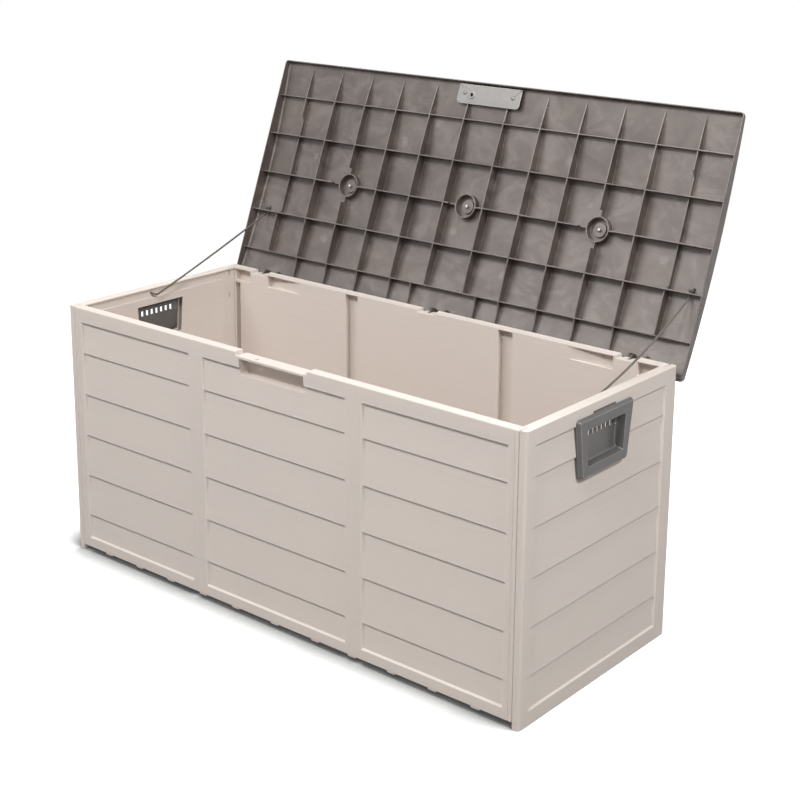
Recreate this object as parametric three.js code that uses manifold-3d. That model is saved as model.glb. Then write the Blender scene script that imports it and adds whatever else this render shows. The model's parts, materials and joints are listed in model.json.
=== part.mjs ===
// Outdoor storage bench: a knock-down resin deck box with a lift-up seat lid.
// Millimetres, +X along the length, -Y to the front, +Z up.
// Origin: centre of the footprint, on the ground. The lid is modelled open, leaning back on its stay cords.
import * as THREE from 'three';
import { mergeVertices } from 'three/addons/utils/BufferGeometryUtils.js';
import Module from 'manifold-3d';

const wasm = await Module();
wasm.setup();

// ---------------------------------------------------------------- driving dimensions
const L = 1104;            // box length, outside
const D = 450.6;           // box depth, outside
const H = 513.3;           // box height
const GAP = 0.3;           // play between pieces that touch
const PANEL_T = 20.3;      // front and back panel, outer face to inner face
const SEAM_X = 537;        // where the front and back panels meet the end panels
const FLANGE_T = 4;        // thickness of the rim flange
const END_IN = 530;        // inner face of the end panels
const END_BAND = 533.5;    // their set-back band under the rim
const SKIN = 2.6;          // moulded skin
const BOARD_TOP = 5.5;     // depth of a board's upper edge behind the frame
const BOARD_LIP = 2.0;     // depth of its lower edge
const BOARD_PITCH = 85;    // board height
const PANEL_Z0 = 12;       // lower edge of the front and back panels
const BAYS = [[-516, -213], [-174, 174], [213, 516]];
const BAY_Z = [32, 484];
const BOARD_LINES = [421, 336, 251, 166, 81];
const END_BAY_Y = [-199, 189];
const END_BAY_Z = [27.5, 485];
const END_LINES = [431, 345, 259, 173, 87];
const CORNER_R = 5;        // vertical corners of the box
const BAY_DRAFT = 2.8;     // slant of the walls round each bay of boards

const LID_L = 1120;        // lid length
const LID_W = 489;         // lid width, rear edge to front edge
const LID_EDGE_T = 14;     // height of the lid at its front and rear edges
const LID_CROWN = 15;      // extra height in its middle
const LID_WALL = 3.2;
const LID_SKIRT = 3.5;
const RIB_T = 2.5;
const RIB_X = [49, 137, 226, 311.8, 397, 482.5];
const RIB_V = [70, 156, 241, 327, 412.5];
const RING_X = [-311, 0, 311];
const RING_V = 241;
const OPEN_LEAN = 20.5;    // degrees behind the vertical
const AXIS_Y = 228.65;     // hinge axis
const AXIS_Z = 499.65;
const AXIS_V = 15.85;      // the axis in the lid's own frame, from its rear edge
const AXIS_W = 7.15;       // and beyond its rim plane
const HINGE_X = [-459, 0, 459];
const DISC_R = 14.5;
const HUB_R = 6.5;
const PIN_R = 3;
const PIN_HOLE_R = 3.3;

const PLATE_HALF = 77;     // pull plate
const PLATE_V = [443.5, 483.2];
const PLATE_D = [4.7, 7.2];
const SCREW_X = 59.5;
const SCREW_V = 465;
const LOCK_X = -41;        // padlock hole, in the plate and in the shelf below it
const LOCK_R = 4;

const CORD_R = 2;
const CORD_X_LID = 527.5;
const CORD_V = 156;
const CORD_D = 17;
const CORD_BOX = [-30, 501]; // where the cord leaves the end panel: y, z

const COL = {
  beige: 0xc8beb4, lid: 0x7a716b, dark: 0x696766, plate: 0xb2aea8, cord: 0x464b46, steel: 0x8d8b88,
};

// ---------------------------------------------------------------- solids
function solid(geometry) {
  const g = geometry.index ? geometry.toNonIndexed() : geometry.clone();
  for (const name of Object.keys(g.attributes)) if (name !== 'position') g.deleteAttribute(name);
  const m = mergeVertices(g, 1e-3);
  return new wasm.Manifold(new wasm.Mesh({
    numProp: 3,
    vertProperties: new Float32Array(m.attributes.position.array),
    triVerts: new Uint32Array(m.index.array),
  }));
}
const box = (x0, x1, y0, y1, z0, z1) => solid(
  new THREE.BoxGeometry(Math.abs(x1 - x0), Math.abs(y1 - y0), Math.abs(z1 - z0))
    .translate((x0 + x1) / 2, (y0 + y1) / 2, (z0 + z1) / 2));
function extrude(points, depth) {
  const s = new THREE.Shape(points.map(([a, b]) => new THREE.Vector2(a, b)));
  return new THREE.ExtrudeGeometry(s, { depth, bevelEnabled: false, curveSegments: 1 });
}
const basis = (a, b, c) => new THREE.Matrix4().makeBasis(new THREE.Vector3(...a), new THREE.Vector3(...b), new THREE.Vector3(...c));
const prismX = (pts, x0, x1) => solid(extrude(pts, x1 - x0).applyMatrix4(basis([0, 1, 0], [0, 0, 1], [1, 0, 0])).translate(x0, 0, 0));
const prismY = (pts, y0, y1) => solid(extrude(pts, y1 - y0).applyMatrix4(basis([1, 0, 0], [0, 0, 1], [0, -1, 0])).translate(0, y1, 0));
const prismZ = (pts, z0, z1) => solid(extrude(pts, z1 - z0).translate(0, 0, z0));
const circle = (cx, cy, r, n = 24) => Array.from({ length: n }, (_, i) => {
  const a = (i + 0.5) * 2 * Math.PI / n;
  return [cx + r * Math.cos(a), cy + r * Math.sin(a)];
});
const arc = (cx, cy, r, a0, a1, n) => Array.from({ length: n + 1 }, (_, i) => {
  const a = (a0 + (a1 - a0) * i / n) * Math.PI / 180;
  return [cx + r * Math.cos(a), cy + r * Math.sin(a)];
});
// rounds the corners of a closed polygon; radii gives one radius per corner
function rounded(pts, radii, n = 4) {
  const out = [];
  pts.forEach((p, i) => {
    const r = Array.isArray(radii) ? radii[i] : radii;
    if (!r) { out.push(p); return; }
    const a = pts[(i + pts.length - 1) % pts.length], b = pts[(i + 1) % pts.length];
    const u = new THREE.Vector2(a[0] - p[0], a[1] - p[1]).normalize();
    const v = new THREE.Vector2(b[0] - p[0], b[1] - p[1]).normalize();
    const half = Math.acos(THREE.MathUtils.clamp(u.dot(v), -1, 1)) / 2;
    const t = r / Math.tan(half);
    const c = u.clone().add(v).normalize().multiplyScalar(r / Math.sin(half)).add(new THREE.Vector2(...p));
    const s = new THREE.Vector2(p[0] + u.x * t, p[1] + u.y * t).sub(c);
    const e = new THREE.Vector2(p[0] + v.x * t, p[1] + v.y * t).sub(c);
    let a0 = Math.atan2(s.y, s.x), a1 = Math.atan2(e.y, e.x);
    if (a1 - a0 > Math.PI) a1 -= 2 * Math.PI;
    if (a0 - a1 > Math.PI) a1 += 2 * Math.PI;
    for (let k = 0; k <= n; k++) {
      const w = a0 + (a1 - a0) * k / n;
      out.push([c.x + r * Math.cos(w), c.y + r * Math.sin(w)]);
    }
  });
  return out;
}
const all = (list) => list.reduce((a, b) => a.add(b));
const cut = (body, ...tools) => body.subtract(all(tools.flat()));
// closed surface through rings of equal length; caps are lists of triangles into the first and last ring
function loft(rings, cap) {
  const n = rings[0].length, pos = rings.flat(2), idx = [];
  for (let k = 0; k + 1 < rings.length; k++) {
    for (let i = 0; i < n; i++) {
      const a = k * n + i, b = k * n + (i + 1) % n, c = a + n, d = b + n;
      idx.push(a, b, d, a, d, c);
    }
  }
  const last = (rings.length - 1) * n;
  for (const [a, b, c] of cap) {
    idx.push(a, c, b);
    idx.push(last + a, last + b, last + c);
  }
  let vol = 0;
  const P = (i) => new THREE.Vector3(pos[3 * i], pos[3 * i + 1], pos[3 * i + 2]);
  for (let t = 0; t < idx.length; t += 3) vol += P(idx[t]).dot(P(idx[t + 1]).cross(P(idx[t + 2])));
  if (vol < 0) for (let t = 0; t < idx.length; t += 3) [idx[t], idx[t + 1]] = [idx[t + 1], idx[t]];
  const g = new THREE.BufferGeometry();
  g.setAttribute('position', new THREE.Float32BufferAttribute(pos, 3));
  g.setIndex(idx);
  return solid(g);
}
const fanCap = (n) => Array.from({ length: n - 2 }, (_, i) => [0, i + 1, i + 2]);
const flatCap = (ring2) => THREE.ShapeUtils.triangulateShape(ring2.map(([a, b]) => new THREE.Vector2(a, b)), []);

const root = new THREE.Group();
function place(name, body, color, parent = root, roughness = 0.55, metalness = 0) {
  const m = body.getMesh();
  const g = new THREE.BufferGeometry();
  const p = new Float32Array(m.numVert * 3);
  for (let i = 0; i < m.numVert; i++) for (let k = 0; k < 3; k++) p[3 * i + k] = m.vertProperties[i * m.numProp + k];
  g.setAttribute('position', new THREE.BufferAttribute(p, 3));
  g.setIndex(Array.from(m.triVerts));
  g.computeVertexNormals();
  const mesh = new THREE.Mesh(g, new THREE.MeshStandardMaterial({ color, roughness, metalness, flatShading: true }));
  mesh.name = name;
  parent.add(mesh);
  return mesh;
}

// ---------------------------------------------------------------- siding
// Outline of the space in front of the boards of one bay: [depth behind the frame face, z].
function siding(zTop, lines, zBot, play = 0) {
  const slope = (BOARD_TOP - BOARD_LIP) / BOARD_PITCH;
  const pts = [[-3, zTop], [BOARD_LIP - play + slope * (zTop - lines[0]), zTop]];
  lines.forEach((z, i) => {
    pts.push([BOARD_LIP - play, z], [BOARD_TOP - play, z - 0.4]);
    if (i === lines.length - 1) pts.push([BOARD_TOP - play - slope * (z - zBot), zBot + BAY_DRAFT * 0.6], [0, zBot - BAY_DRAFT * 0.3]);
  });
  pts.push([-3, zBot - BAY_DRAFT * 0.3]);
  return pts;
}
// plan outline of one bay from a to b: [place along the panel, depth behind the frame face]
const bayPlan = (a, b) => [[a - 1, -3], [a - 1, 0], [a - 1 + BAY_DRAFT * 1.5, 6], [b + 1 - BAY_DRAFT * 1.5, 6], [b + 1, 0], [b + 1, -3]];

// ---------------------------------------------------------------- front and back panels
// side = -1 for the front, +1 for the back; faces are measured from the outer face inwards.
function longPanel(side) {
  const yo = side * D / 2;                 // outer face
  const y = (d) => yo - side * d;          // depth d behind the outer face
  const bx = (x0, x1, d0, d1, z0, z1) => box(x0, x1, Math.min(y(d0), y(d1)), Math.max(y(d0), y(d1)), z0, z1);
  const half = SEAM_X - 0.4;
  let body = bx(-half, half, 0, PANEL_T, PANEL_Z0, H);
  const tools = [];
  for (const [a, b] of BAYS) {
    tools.push(prismX(siding(BAY_Z[1], BOARD_LINES, BAY_Z[0]).map(([d, z]) => [y(d), z]), a - 2, b + 2)
      .intersect(prismZ(bayPlan(a, b).map(([x, d]) => [x, y(d)]), 0, H)));
  }
  for (const s of [-1, 1]) {
    // chamfer along the seam and the fine groove beside it
    tools.push(prismZ([[s * (half + 1), y(-1)], [s * (half - 2.2), y(-1)], [s * (half + 1), y(2.2)]], PANEL_Z0 - 1, H + 1));
    tools.push(bx(...[s * 528.2, s * 529.6].sort((p, q) => p - q), -1, 0.8, PANEL_Z0 - 1, H - 8));
    // channels open to the inside: mullions and corner posts
    tools.push(bx(...[s * 177, s * 210].sort((p, q) => p - q), 6.3, PANEL_T + 1, PANEL_Z0 - 1, H - FLANGE_T));
    tools.push(bx(...[s * 515, s * 529].sort((p, q) => p - q), 6.3, PANEL_T + 1, PANEL_Z0 - 1, H - 34));
  }
  // rounded outer edge of the rim
  tools.push(prismX([[y(2.6), H + 2], ...arc(0, 0, 2.6, 90, 180, 3).map(([a, b]) => [y(2.6 + a), H - 2.6 + b]), [y(-2), H - 2.6], [y(-2), H + 2]], -half - 1, half + 1));
  // the rim's inner strip sits a little lower than its outer strip
  tools.push(bx(-half - 1, half + 1, 7.3, PANEL_T + 1, H - 0.7, H + 1));
  // hollows between the skins, open along the lower edge
  const d0 = BOARD_TOP + SKIN, d1 = PANEL_T - SKIN;
  const hollows = side < 0
    ? [[-511, -217, H - 9], [217, 511, H - 9], [-170, 170, 448], [-170, -92, H - 9], [92, 170, H - 9]]
    : [[-511, -217, H - 46], [-328, -217, H - 9], [217, 511, H - 46], [217, 328, H - 9], [-170, 170, H - 46], [-170, -28, H - 9], [28, 170, H - 9]];
  for (const [a, b, top] of hollows) tools.push(bx(a, b, d0, d1, PANEL_Z0 - 1, top));
  body = cut(body, tools);
  return { body, bx, y };
}

function frontPanel() {
  const { body: base, bx, y } = longPanel(-1);
  // boss around the finger pocket, and the padlock shelf over it
  let body = base.add(bx(-85, 85, PANEL_T - 4, 26.8, 455, 505.3));
  body = body.add(bx(-85, 85, 8, PANEL_T, 448, 500));
  const scoop = [[y(-3), 470], [y(0), 470], [y(15), 463.4], [y(18.5), 462.8], [y(21.5), 464], [y(23), 467], [y(23.5), 472], [y(23.5), 500.3], [y(-3), 500.3]];
  // pocket outline as seen from the front, with rounded lower corners
  const outline = rounded([[-79, 501], [-79, 470], [79, 470], [79, 501]], [0, 6, 6, 0], 4);
  const pocket = prismX(scoop, -79, 79).intersect(prismY(outline, -240, -190));
  body = cut(body,
    bx(-87, 87, -1, 30, 505.3, H + 1),
    pocket,
    prismZ(circle(LOCK_X, y(8.3), LOCK_R, 20), 490, H));
  return body;
}

function backPanel() {
  const { body: base, bx, y } = longPanel(1);
  const tools = [], adds = [];
  for (const s of [-1, 1]) {
    // corner pockets and the long ramped pockets under the rim
    tools.push(bx(...[s * 484, s * 529].sort((p, q) => p - q), 5.3, PANEL_T + 1, H - 28, H - FLANGE_T));
    const ramp = [[s * 333, y(PANEL_T)], [s * 432, y(PANEL_T - 15)], [s * 432, y(PANEL_T + 1)], [s * 333, y(PANEL_T + 1)]];
    tools.push(prismZ(ramp, H - 28, H - FLANGE_T));
  }
  for (const c of HINGE_X) {
    tools.push(bx(c - 20.3, c + 20.3, -1, PANEL_T + 1, H - 6, H + 1));
    tools.push(bx(c - 2.5, c + 2.5, -12, 12.8, H - 29, H + 1));
    for (const s of [-1, 1]) tools.push(bx(...[c + s * 14.1, c + s * 20.3].sort((p, q) => p - q), -1, 4.5, 490.5, H + 1));
    for (const s of [-1, 1]) {
      const [a, b] = [c + s * 2.6, c + s * 14].sort((p, q) => p - q);
      adds.push(prismX(circle(AXIS_Y, AXIS_Z, HUB_R, 20), a, b));
      adds.push(box(a, b, 221, AXIS_Y, AXIS_Z - HUB_R + 0.1, AXIS_Z + HUB_R - 0.1));
    }
  }
  let body = cut(base, tools).add(all(adds));
  return cut(body, HINGE_X.map((c) => prismX(circle(AXIS_Y, AXIS_Z, PIN_HOLE_R, 16), c - 22, c + 22)));
}

// ---------------------------------------------------------------- end panels
const HANDLE_OUT = [[-91.4, 495.2], [-78.9, 389.6], [61.8, 389.6], [76.2, 495.2]];   // y, z
const HANDLE_REC = [[-66.5, 474.5], [-61.5, 409.8], [44.7, 409.8], [49.7, 474.5]];
const HANDLE_MID = [-8.4, 444];
function endPanel(s) {
  const bx = (x0, x1, y0, y1, z0, z1) => box(...[s * x0, s * x1].sort((p, q) => p - q), y0, y1, z0, z1);
  const w = D / 2, e = L / 2, wing = w - PANEL_T - GAP;
  // plan outline with rounded outer corners
  let plan = [
    [s * END_BAND, -wing], [s * (SEAM_X), -wing], [s * SEAM_X, -w + 1.2], [s * (SEAM_X + 1.2), -w],
    ...arc(e - CORNER_R, -w + CORNER_R, CORNER_R, -90, 0, 5).map(([a, b]) => [s * a, b]),
    ...arc(e - CORNER_R, w - CORNER_R, CORNER_R, 0, 90, 5).map(([a, b]) => [s * a, b]),
    [s * (SEAM_X + 1.2), w], [s * SEAM_X, w - 1.2], [s * SEAM_X, wing], [s * END_BAND, wing],
  ];
  let body = prismZ(plan, 0, H);
  // inner flange of the rim, and the bay of the inner skin that stands proud below it
  body = body.add(bx(END_IN, END_BAND + 1, -wing, wing, H - FLANGE_T, H));
  const bay = rounded([[-175, -5], [-175, 493], [175, 493], [175, -5]], [0, 12, 12, 0], 3);
  body = body.add(prismX(bay.filter(() => true), ...[s * END_IN, s * (END_BAND + 1)].sort((p, q) => p - q)).subtract(box(-600, 600, -300, 300, -20, 0)));
  const tools = [];
  // boards, with a flat land left under the handle
  const land = prismX(rounded(HANDLE_OUT.map(([a, b]) => [a + (a < 0 ? 6.2 : -6.2), b + (b > 440 ? -6.2 : 6.2)]), 5, 2), ...[s * 500, s * 600].sort((p, q) => p - q));
  tools.push(prismY(siding(END_BAY_Z[1], END_LINES, END_BAY_Z[0]).map(([d, z]) => [s * (e - d), z]), END_BAY_Y[0] - 2, END_BAY_Y[1] + 2)
    .intersect(prismZ(bayPlan(...END_BAY_Y).map(([a, d]) => [s * (e - d), a]), 0, H)).subtract(land));
  // open joint beside the rim of the front and back panels
  for (const q of [-1, 1]) tools.push(bx(SEAM_X - 1, SEAM_X + 1.3, ...[q * (w + 1), q * (wing + 0.01)].sort((a, b) => a - b), H - 5, H + 1));
  // slot over the handle, for its hook
  tools.push(bx(543, e + 1, -40, 28, 495.5, 498));
  // rounded shoulder along the top outer edge
  tools.push(prismY([[s * (e - 1.3), H + 2], [s * (e - 1.3), H], ...arc(e - 1.3, H - 1.3, 1.3, 90, 0, 2).slice(1).map(([a, b]) => [s * a, b]), [s * (e + 2), H - 1.3], [s * (e + 2), H + 2]], -w - 1, w + 1));
  // the rim's inner strip sits a little lower
  tools.push(bx(END_IN - 1, 540, -w - 1, w + 1, H - 0.7, H + 1));
  // hollows, open along the lower edge
  tools.push(bx(END_BAND + SKIN, e - BOARD_TOP - SKIN, -194, 184, -1, 505));
  tools.push(bx(END_IN + SKIN, END_BAND + SKIN + 1, -172, 172, -1, 489.5));
  for (const q of [-1, 1]) tools.push(bx(541, 548, ...[q * 208.5, q * 218.5].sort((a, b) => a - b), -1, 503));
  // opening for the handle's cup
  tools.push(prismX(HANDLE_REC.map(([a, b]) => [a + (a < 0 ? -3 : 3), b + (b > 440 ? 3 : -3)]), ...[s * 500, s * 600].sort((p, q) => p - q)));
  // snap slots and the hole of the stay cord
  for (const q of [-1, 1]) for (const [z0, z1] of [[445, 459], [496, 508]]) tools.push(bx(END_BAND - 1, END_BAND + SKIN + 1, ...[q * 189.5, q * 192.5].sort((a, b) => a - b), z0, z1));
  tools.push(prismX(circle(CORD_BOX[0], CORD_BOX[1], 2.8, 12), ...[s * (END_BAND - 1), s * (END_BAND + SKIN + 1)].sort((p, q) => p - q)));
  return cut(body, tools);
}

// ---------------------------------------------------------------- floor
function floorPanel() {
  const fx = END_IN - GAP, fy = D / 2 - PANEL_T - GAP - 0.3;
  const adds = [box(-fx, fx, -fy, fy, 14, 18)];
  adds.push(box(-fx, -fx + 3, -fy, fy, 8, 15), box(fx - 3, fx, -fy, fy, 8, 15));
  adds.push(box(-fx, fx, -fy, -fy + 3, 8, 15), box(-fx, fx, fy - 3, fy, 8, 15));
  for (const x of [-354, -177, 177, 354]) adds.push(box(x - 1.5, x + 1.5, -fy, fy, 7, 15));
  for (const yy of [-102, 102]) adds.push(box(-fx, fx, yy - 1.5, yy + 1.5, 7, 15));
  adds.push(box(-fx, fx, -1.5, 1.5, 7, 15), box(-1.5, 1.5, -fy, fy, 7, 15));
  // tabs that reach under the front and back panels
  for (const x of [0, 101, 189, 280, 370.5, 461.5]) for (const s of x ? [-1, 1] : [1]) for (const q of [-1, 1]) {
    adds.push(box(s * x - 9, s * x + 9, ...[q * (fy - 2), q * 224.3].sort((a, b) => a - b), 8.3, 11.7));
  }
  // feet
  for (const x of [-354, 0, 354]) for (const yy of [-102, 0, 102]) adds.push(box(x - 20, x + 20, yy - 20, yy + 20, 0, 15));
  return all(adds);
}

// ---------------------------------------------------------------- handles
function handle(s) {
  const e = L / 2;
  const x0 = e + GAP, x1 = e + 7.5;
  const inset = (pts, k, kz = k) => pts.map(([a, b]) => [a + (a < HANDLE_MID[0] ? k : -k), b + (b > HANDLE_MID[1] ? -kz : kz)]);
  const ring = (pts, radii, x, n) => rounded(pts, radii, n).map(([a, b]) => [s * x, a, b]);
  const n = 4, corners = [5, 8, 8, 5];
  // frame, with a broad soft edge at its sides and a crisp one along its top
  const out = [[x0, 0, 0], [x1 - 4.6, 0.8, 0.7], [x1 - 2.9, 1.6, 1.7], [x1 - 1.1, 3, 2.9], [x1, 4.8, 4]];
  const rings = out.map(([x, k, kz]) => ring(inset(HANDLE_OUT, k, kz), corners.map((r) => r - k * 0.4), x, n));
  let body = loft(rings, flatCap(rounded(HANDLE_OUT, corners, n)));
  // outside of the cup
  const cupOut = [[x0 + 2, -2.4, -2.4], [543.2, 0.8, 0.4], [540.4, 2.2, 6.6]].map(([x, k, kz]) => ring(inset(HANDLE_REC, k, kz), 5, x, 3));
  body = body.add(loft(cupOut, flatCap(rounded(HANDLE_REC, 5, 3))));
  // inside of the cup, with a slanted foot along its back
  const cupIn = [[x1 + 2, -0.6, -0.6], [x1 - 1.2, 0.3, 0.3], [545.6, 3.2, 3.2], [542.9, 4.6, 9.4]].map(([x, k, kz]) => ring(inset(HANDLE_REC, k, kz), 4, x, 3));
  body = body.subtract(loft(cupIn, flatCap(rounded(HANDLE_REC, 4, 3))));
  // drain and vent slots through the back of the cup
  const slots = [];
  for (let k = -3; k <= 4; k++) slots.push(box(...[s * 535, s * 547].sort((p, q) => p - q), -10.7 + 12.75 * k - 3.2, -10.7 + 12.75 * k + 3.2, 453.8, 464.6));
  body = cut(body, slots);
  // skirt that closes the gap to the boards behind the flange
  const skirt = prismX(rounded(HANDLE_OUT, corners, n), ...[s * 540, s * (x0 + 1)].sort((p, q) => p - q))
    .subtract(prismX(rounded(inset(HANDLE_OUT, 5.2), corners.map((r) => r - 3), n), ...[s * 530, s * 560].sort((p, q) => p - q)));
  const front = prismY(siding(END_BAY_Z[1] - GAP, END_LINES.map((z) => z - 0.35), END_BAY_Z[0], GAP).map(([d, z]) => [s * (e - d), z]), ...END_BAY_Y);
  return body.add(skirt.intersect(front));
}

// ---------------------------------------------------------------- lid, in its own frame: x, v from the rear edge, w = -depth
const mid = LID_W / 2;
const sOf = (v) => (v - mid) / mid;
const outT = (v) => LID_EDGE_T + LID_CROWN * (1 - sOf(v) ** 2);
function lidDome(offset, less, rimW, rE, thin = 0) {
  const stations = [0, 0.06, 0.16, 0.28, 0.4, 0.5, 0.6, 0.72, 0.84, 0.94, 1];
  const T = (v) => outT(v) - less;
  const outline = (e, m = 4) => {
    const X = LID_L / 2 - e, v0 = e, v1 = LID_W - e, rc = Math.max(7 - offset, 3) * (1 - 0.55 * Math.min(1, (e - offset) / rE));
    const right = [
      ...arc(X - rc, v0 + rc, rc, -90, 0, m),
      ...stations.slice(1, -1).map((t) => [X, v0 + rc + (v1 - v0 - 2 * rc) * t]),
      ...arc(X - rc, v1 - rc, rc, 0, 90, m),
    ];
    return [...right, ...right.slice().reverse().map(([x, v]) => [-x, v])];
  };
  const rings = [outline(offset - thin).map(([x, v]) => [x, v, rimW])];
  const steps = [0, 20, 42, 65, 90];
  for (const deg of steps) {
    const a = deg * Math.PI / 180;
    rings.push(outline(offset + rE * (1 - Math.cos(a))).map(([x, v]) => {
      const r = Math.min(rE, T(v) - 2.6);
      return [x, v, -(T(v) - r + r * Math.sin(a))];
    }));
  }
  const n = rings[0].length, cap = [];
  for (let i = 0; i < n / 2 - 1; i++) {
    cap.push([i, i + 1, n - 2 - i], [i, n - 2 - i, n - 1 - i]);
  }
  return loft(rings, cap);
}
const inT = (v) => outT(v) - LID_WALL;

// depth of the rib tips below the rim plane
const TIP = [[12, 7], [45, 7], [69, 3], [157, 2], [241, 2.4], [327, 3], [370, 4], [412, 5.6], [450, 8.8], [470, 10.6], [481.6, 12.2]];
const tipAt = (v) => {
  if (v <= TIP[0][0]) return TIP[0][1];
  for (let i = 1; i < TIP.length; i++) if (v <= TIP[i][0]) {
    const [a, p] = TIP[i - 1], [b, q] = TIP[i];
    return p + (q - p) * (v - a) / (b - a);
  }
  return TIP.at(-1)[1];
};

function lid() {
  const shell = lidDome(0, 0, 0, 9).subtract(lidDome(LID_SKIRT, LID_WALL, 3, 4, 2.1));
  const core = lidDome(1.6, 1.6, 0, 7.4);
  const deep = -40;
  const rib = (x, pts) => prismX([...pts.map(([v, d]) => [v, -d]), [pts.at(-1)[0], deep], [pts[0][0], deep]], x - RIB_T / 2, x + RIB_T / 2);
  const ribs = [];
  const full = (v0, v1) => {
    const vs = [v0, ...TIP.map(([v]) => v).filter((v) => v > v0 + 1 && v < v1 - 1), v1];
    return vs.map((v) => [v, tipAt(v)]);
  };
  for (const ax of RIB_X) for (const s of [-1, 1]) {
    if (ax === 482.5) {
      ribs.push(rib(s * ax, [[70, 3], [150, 3], [163, 15], [364, 15], [376, 7.6], [412, 7.6], [450, 8.9], [481.6, 12.1]]));
    } else if (ax === 49) {
      ribs.push(rib(s * ax, full(70, 487)));
    } else {
      ribs.push(rib(s * ax, full(2, 487)));
    }
  }
  for (const s of [-1, 1]) ribs.push(rib(s * 81.6, full(2, 70)));
  const crossRibs = [];
  for (const v of RIB_V) {
    const t = -tipAt(v), e = -7.2;
    crossRibs.push(prismY([[-558, e], [-526, e], [-520, t], [520, t], [526, e], [558, e], [558, deep], [-558, deep]], v - RIB_T / 2, v + RIB_T / 2));
  }
  let grid = all([...ribs, ...crossRibs]);
  // ribs step down around the ring bosses and stop at them
  const lower = [], inner = [], rings = [];
  for (const x of RING_X) {
    lower.push(prismZ(circle(x, RING_V, 37, 24), -11.8, 3));
    inner.push(prismZ(circle(x, RING_V, 23, 24), deep, 3));
    rings.push(prismZ(circle(x, RING_V, 25, 32), deep, -11.8).subtract(prismZ(circle(x, RING_V, 22.5, 32), deep - 1, 0)));
    rings.push(prismZ(circle(x, RING_V, 14, 24), deep, -21));
    rings.push(prismZ(circle(x, RING_V, 3, 12), deep, -17.5));
  }
  grid = cut(grid, lower, inner).add(all(rings));
  // bosses for the plate screws
  grid = grid.add(all([-1, 1].map((s) => prismZ(circle(s * SCREW_X, SCREW_V, 5, 16), deep, -(PLATE_D[1] + GAP)))));
  // hinge discs and arms
  const hinge = [];
  for (const c of HINGE_X) {
    hinge.push(prismX([[3, 1], [3, deep], [27, deep], [27, 1]], c - 1.5, c + 1.5));
    for (const s of [-1, 1]) {
      const [a, b] = [c + s * 14.4, c + s * 19.6].sort((p, q) => p - q);
      hinge.push(prismX([[3, 0], [3, deep], [31, deep], [31, -1.9], [13.8, -1.9], [13.8, 0]], a, b));
    }
  }
  let below = grid.add(all(hinge)).intersect(core);
  const above = [];
  for (const c of HINGE_X) {
    above.push(prismX(circle(AXIS_V, AXIS_W, DISC_R, 36), c - 1.5, c + 1.5));
    for (const s of [-1, 1]) {
      const [a, b] = [c + s * 14.4, c + s * 19.6].sort((p, q) => p - q);
      // hull of the hub and the arm's root at the rim
      const q = [3, -1], hub = circle(AXIS_V, AXIS_W, HUB_R, 24);
      const d = Math.hypot(AXIS_V - q[0], AXIS_W - q[1]), base = Math.atan2(AXIS_W - q[1], AXIS_V - q[0]), off = Math.asin(HUB_R / d), len = Math.sqrt(d * d - HUB_R * HUB_R);
      const t = [q[0] + len * Math.cos(base + off), q[1] + len * Math.sin(base + off)];
      above.push(prismX(hub, a, b), prismX([q, [AXIS_V - 2, -1], [AXIS_V, AXIS_W], t], a, b));
    }
  }
  let body = shell.add(below).add(all(above));
  body = cut(body, HINGE_X.map((c) => prismX(circle(AXIS_V, AXIS_W, PIN_HOLE_R, 16), c - 25, c + 25)));
  // screw holes and the holes of the stay cords
  body = cut(body, [-1, 1].map((s) => prismZ(circle(s * SCREW_X, SCREW_V, 2.3, 12), -12.6, 0)),
    [-1, 1].map((s) => prismY(circle(s * CORD_X_LID, -CORD_D, 2.8, 12), CORD_V - 4, CORD_V + 4)));
  return body;
}

function pullPlate() {
  const outline = rounded([[-PLATE_HALF, PLATE_V[1]], [-PLATE_HALF, PLATE_V[0]], [PLATE_HALF, PLATE_V[0]], [PLATE_HALF, PLATE_V[1]]], [2, 8, 8, 2], 4);
  let body = prismZ(outline, -PLATE_D[1], -PLATE_D[0]);
  body = body.add(prismZ(circle(LOCK_X, 461.8, 7, 24), -PLATE_D[1], -PLATE_D[0] + 2.5));
  return cut(body, prismZ(circle(LOCK_X, 461.8, LOCK_R, 20), -12, 2),
    [-1, 1].map((s) => prismZ(circle(s * SCREW_X, SCREW_V, 2.3, 12), -12, 2)));
}
function screw() {
  // pan head on the plate, shank down into the lid's boss
  const p = [[0, -12], [2, -12], [2, -PLATE_D[0] + GAP], [4, -PLATE_D[0] + GAP], [4, -PLATE_D[0] + 1], [3, -PLATE_D[0] + 1.9], [0, -PLATE_D[0] + 2.1]];
  return solid(new THREE.LatheGeometry(p.map(([r, z]) => new THREE.Vector2(r, z)), 12).rotateX(Math.PI / 2));
}
function hingePin() {
  const p = [[0, -19.2], [PIN_R - 0.6, -19.2], [PIN_R, -18.6], [PIN_R, 18.6], [PIN_R - 0.6, 19.2], [0, 19.2]];
  return solid(new THREE.LatheGeometry(p.map(([r, z]) => new THREE.Vector2(r, z)), 16).rotateZ(-Math.PI / 2));
}

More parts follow.
